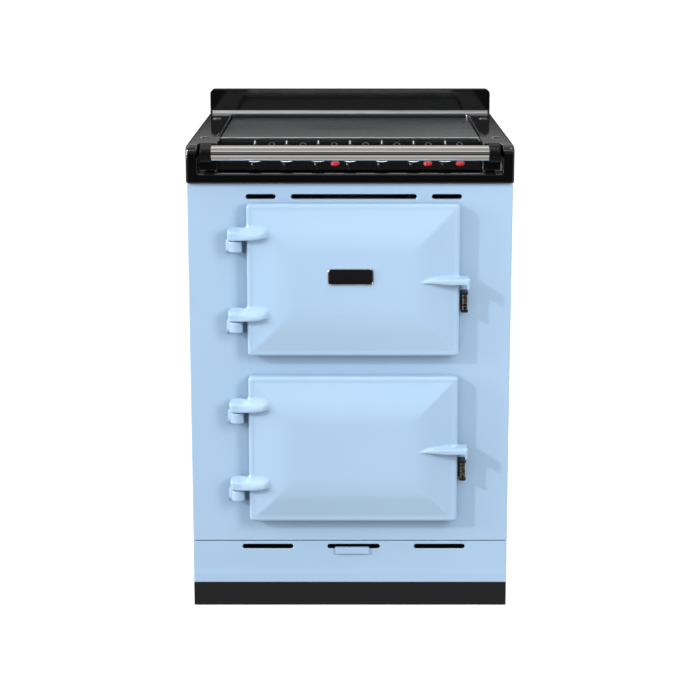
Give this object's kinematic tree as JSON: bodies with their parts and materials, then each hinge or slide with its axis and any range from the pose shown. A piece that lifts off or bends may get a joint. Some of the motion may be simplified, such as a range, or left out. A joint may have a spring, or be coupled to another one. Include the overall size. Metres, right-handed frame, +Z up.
{
  "type": "cast iron range cooker",
  "caption": "Cast iron electric range cooker with stacked side-hinged ovens, a ceramic hob, a sloping control panel, a front hand rail and a rear upstand.",
  "frame": {"origin": "on the floor under the middle of the whole cooker, hand rail included", "axes": "+Z up, +X to the right as seen from the front, the front of the cooker faces -Y"},
  "size_m": [0.601, 0.6524, 0.939],
  "materials": {
    "blue_enamelled_cast_iron": "glossy pale blue vitreous enamel over cast iron",
    "blue_enamelled_sheet": "glossy pale blue vitreous enamel on sheet steel",
    "black_enamelled_cast_iron": "high gloss black vitreous enamel over cast iron",
    "black_enamelled_sheet": "high gloss black enamel on steel",
    "plinth_black": "satin black powder coat",
    "knob_black": "glossy black moulding",
    "neon_red": "clear red moulded lens",
    "hob_glass": "dark smooth ceramic glass",
    "polished_steel": "polished stainless steel",
    "shelf_chrome": "chromed wire",
    "galvanised_sheet": "galvanised sheet steel",
    "oven_enamel": "speckled dark oven enamel",
    "mineral_wool": "loose mineral fibre",
    "rope_seal": "woven glass fibre rope",
    "dull_steel": "dull turned steel",
    "heating_steel": "heat-darkened stainless steel"
  },
  "bodies": {
    "cabinet": {"base_plinth": "plinth_black", "base_pan": "galvanised_sheet", "levelling_foot_front_left": "dull_steel", "levelling_foot_front_right": "dull_steel", "levelling_foot_rear_left": "dull_steel", "levelling_foot_rear_right": "dull_steel", "left_side_panel": "blue_enamelled_sheet", "right_side_panel": "blue_enamelled_sheet", "back_panel": "galvanised_sheet", "front_plate": "blue_enamelled_cast_iron", "upper_hinge_pin_top": "dull_steel", "upper_hinge_pin_bottom": "dull_steel", "lower_hinge_pin_top": "dull_steel", "lower_hinge_pin_bottom": "dull_steel", "top_casting": "black_enamelled_cast_iron", "rear_upstand": "black_enamelled_cast_iron", "hob_glass": "hob_glass", "hob_element_front_left": "heating_steel", "hob_element_front_right": "heating_steel", "hob_element_rear_left": "heating_steel", "hob_element_rear_right": "heating_steel", "hob_tray": "galvanised_sheet", "control_fascia": "black_enamelled_sheet", "switch_bank": "galvanised_sheet", "neon_lens_1": "neon_red", "neon_lens_2": "neon_red", "neon_lens_3": "neon_red", "hand_rail": "polished_steel", "left_rail_bracket": "black_enamelled_sheet", "right_rail_bracket": "black_enamelled_sheet", "upper_oven_cavity": "oven_enamel", "lower_oven_cavity": "oven_enamel", "oven_insulation": "mineral_wool", "upper_oven_shelf": "shelf_chrome", "lower_oven_shelf": "shelf_chrome", "grill_element": "heating_steel", "fan_motor": "galvanised_sheet", "fan_baffle": "oven_enamel", "upper_catch_bracket": "dull_steel", "lower_catch_bracket": "dull_steel"},
    "upper_oven_door": {"upper_door": "blue_enamelled_cast_iron", "upper_door_insulation": "mineral_wool", "upper_door_liner": "oven_enamel", "upper_door_seal": "rope_seal"},
    "lower_oven_door": {"lower_door": "blue_enamelled_cast_iron", "lower_door_insulation": "mineral_wool", "lower_door_liner": "oven_enamel", "lower_door_seal": "rope_seal"},
    "cover": {"plinth_cover": "blue_enamelled_sheet", "finger_pull": "blue_enamelled_sheet"},
    "upper_roller": {"upper_catch_roller": "dull_steel"},
    "lower_roller": {"lower_catch_roller": "dull_steel"},
    "fan": {"oven_fan": "heating_steel"},
    "knob_1": {"control_knob_1": "knob_black"},
    "knob_2": {"control_knob_2": "knob_black"},
    "knob_3": {"control_knob_3": "knob_black"},
    "knob_4": {"control_knob_4": "knob_black"},
    "knob_5": {"control_knob_5": "knob_black"},
    "knob_6": {"control_knob_6": "knob_black"},
    "knob_7": {"control_knob_7": "knob_black"}
  },
  "joints": [
    {"name": "upper_door_hinge", "type": "hinge", "parent": "cabinet", "child": "upper_oven_door", "pos_m": [-0.211, -0.29183, 0.6405], "axis": [0, 0, -1], "range_deg": [0, 110]},
    {"name": "lower_door_hinge", "type": "hinge", "parent": "cabinet", "child": "lower_oven_door", "pos_m": [-0.211, -0.29183, 0.318], "axis": [0, 0, -1], "range_deg": [0, 110]},
    {"name": "plinth_cover_pull", "type": "slide", "parent": "cabinet", "child": "cover", "axis": [0, -1, 0], "range_m": [0, 0.06]},
    {"name": "knob_1_turn", "type": "hinge", "parent": "cabinet", "child": "knob_1", "pos_m": [-0.177, -0.20307, 0.8584], "axis": [0, 0.3947, -0.9188], "range_deg": [0, 270]},
    {"name": "knob_2_turn", "type": "hinge", "parent": "cabinet", "child": "knob_2", "pos_m": [-0.118, -0.20307, 0.8584], "axis": [0, 0.3947, -0.9188], "range_deg": [0, 270]},
    {"name": "knob_3_turn", "type": "hinge", "parent": "cabinet", "child": "knob_3", "pos_m": [-0.059, -0.20307, 0.8584], "axis": [0, 0.3947, -0.9188], "range_deg": [0, 270]},
    {"name": "knob_4_turn", "type": "hinge", "parent": "cabinet", "child": "knob_4", "pos_m": [0, -0.20307, 0.8584], "axis": [0, 0.3947, -0.9188], "range_deg": [0, 270]},
    {"name": "knob_5_turn", "type": "hinge", "parent": "cabinet", "child": "knob_5", "pos_m": [0.059, -0.20307, 0.8584], "axis": [0, 0.3947, -0.9188], "range_deg": [0, 270]},
    {"name": "knob_6_turn", "type": "hinge", "parent": "cabinet", "child": "knob_6", "pos_m": [0.118, -0.20307, 0.8584], "axis": [0, 0.3947, -0.9188], "range_deg": [0, 270]},
    {"name": "knob_7_turn", "type": "hinge", "parent": "cabinet", "child": "knob_7", "pos_m": [0.177, -0.20307, 0.8584], "axis": [0, 0.3947, -0.9188], "range_deg": [0, 270]},
    {"name": "upper_roller_spin", "type": "hinge", "parent": "cabinet", "child": "upper_roller", "pos_m": [0.211, -0.29883, 0.6005], "axis": [0, 0, 1], "continuous": true},
    {"name": "lower_roller_spin", "type": "hinge", "parent": "cabinet", "child": "lower_roller", "pos_m": [0.211, -0.29883, 0.278], "axis": [0, 0, 1], "continuous": true},
    {"name": "fan_spin", "type": "hinge", "parent": "cabinet", "child": "fan", "pos_m": [0.006, 0.12, 0.318], "axis": [0, 1, 0], "continuous": true}
  ]
}
